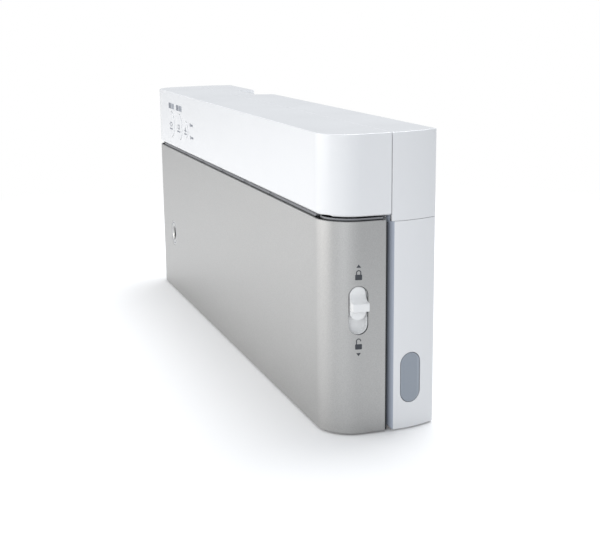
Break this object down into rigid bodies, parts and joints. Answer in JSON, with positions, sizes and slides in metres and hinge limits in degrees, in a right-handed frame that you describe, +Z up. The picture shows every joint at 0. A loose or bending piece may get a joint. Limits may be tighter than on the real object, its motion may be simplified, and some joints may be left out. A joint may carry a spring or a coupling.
{
  "type": "vacuum sealer",
  "caption": "Slim countertop vacuum bag sealer with hinged metal lid, store slider, release buttons and control panel, standing on its long edge.",
  "frame": {"origin": "middle of the bounding box on the resting surface, as the sealer stands on its long edge", "axes": "+Z up, X along the length with +X at the end with the store slider, -Y out of the metal lid, +Y towards the back with the round feet"},
  "size_m": [0.4338, 0.0674, 0.1667],
  "materials": {
    "white_plastic": "gloss",
    "grey_plastic": "satin",
    "dark_plastic": "matte",
    "button_grey": "satin",
    "metal_skin": "fine satin",
    "aluminium_bar": "extruded",
    "steel": "brushed",
    "brass": "plain",
    "rubber": "matte",
    "foam": "closed-cell foam",
    "hose": "silicone",
    "lead_insulation": "satin",
    "release_tape": "coated glass cloth",
    "circuit_board": "solder mask",
    "iron_core": "laminated",
    "coil_winding": "enamelled wire under tape",
    "lamp_lens": "clear lens"
  },
  "bodies": {
    "base": {"base_housing": "white_plastic", "deck": "grey_plastic", "control_cover": "white_plastic", "rear_cover": "white_plastic", "hinge_rod": "steel", "lower_gasket": "foam", "vacuum_channel": "grey_plastic", "drip_tray": "grey_plastic", "seal_bar": "aluminium_bar", "heating_ribbon": "steel", "release_tape": "release_tape", "heater_terminals": "brass", "heater_leads": "lead_insulation", "catch_spring_right": "steel", "catch_spring_left": "steel", "status_lamps": "lamp_lens", "control_board": "circuit_board", "panel_switches": "dark_plastic", "power_board": "circuit_board", "transformer": "iron_core", "transformer_coil": "coil_winding", "motor": "steel", "pump_head": "dark_plastic", "pump_cradle": "rubber", "check_valve": "grey_plastic", "vacuum_hose": "hose", "cord_bush": "rubber", "back_feet": "rubber", "base_pads": "rubber", "case_screws": "steel"},
    "lid": {"lid_skin": "metal_skin", "lid_frame": "dark_plastic", "upper_gasket": "foam", "press_strip": "rubber", "latch_hooks": "dark_plastic", "port_collar": "metal_skin", "port_tube": "rubber", "slider_bed": "grey_plastic", "lid_pads": "rubber", "lid_screws": "steel"},
    "store_slider": {"slider_knob": "white_plastic", "lock_plate": "steel"},
    "release_right": {"release_button_right": "button_grey", "catch_right": "dark_plastic"},
    "release_left": {"release_button_left": "button_grey", "catch_left": "dark_plastic"},
    "vacuum_key": {"vacuum_button": "white_plastic"},
    "seal_key": {"seal_button": "white_plastic"},
    "food_key": {"food_button": "white_plastic"},
    "pump_rotor": {"pump_eccentric": "steel"}
  },
  "joints": [
    {"name": "lid_hinge", "type": "hinge", "parent": "base", "child": "lid", "pos_m": [-0.0019, -0.0297, 0.1192], "axis": [-1, 0, 0], "range_deg": [0, 55]},
    {"name": "store_slide", "type": "slide", "parent": "lid", "child": "store_slider", "axis": [0, 0, -1], "range_m": [0, 0.007]},
    {"name": "release_right_press", "type": "slide", "parent": "base", "child": "release_right", "axis": [-1, 0, 0], "range_m": [0, 0.0025], "stiffness_N_per_m": 800, "deforming": ["catch_spring_right"]},
    {"name": "release_left_press", "type": "slide", "parent": "base", "child": "release_left", "axis": [1, 0, 0], "range_m": [0, 0.0025], "stiffness_N_per_m": 800, "deforming": ["catch_spring_left"]},
    {"name": "vacuum_key_press", "type": "slide", "parent": "base", "child": "vacuum_key", "axis": [0, 1, 0], "range_m": [0, 0.0007], "stiffness_N_per_m": 1500},
    {"name": "seal_key_press", "type": "slide", "parent": "base", "child": "seal_key", "axis": [0, 1, 0], "range_m": [0, 0.0007], "stiffness_N_per_m": 1500},
    {"name": "food_key_press", "type": "slide", "parent": "base", "child": "food_key", "axis": [0, 1, 0], "range_m": [0, 0.0007], "stiffness_N_per_m": 1500},
    {"name": "pump_spin", "type": "hinge", "parent": "base", "child": "pump_rotor", "pos_m": [0.1071, -0.0031, 0.1413], "axis": [1, 0, 0], "continuous": true}
  ]
}
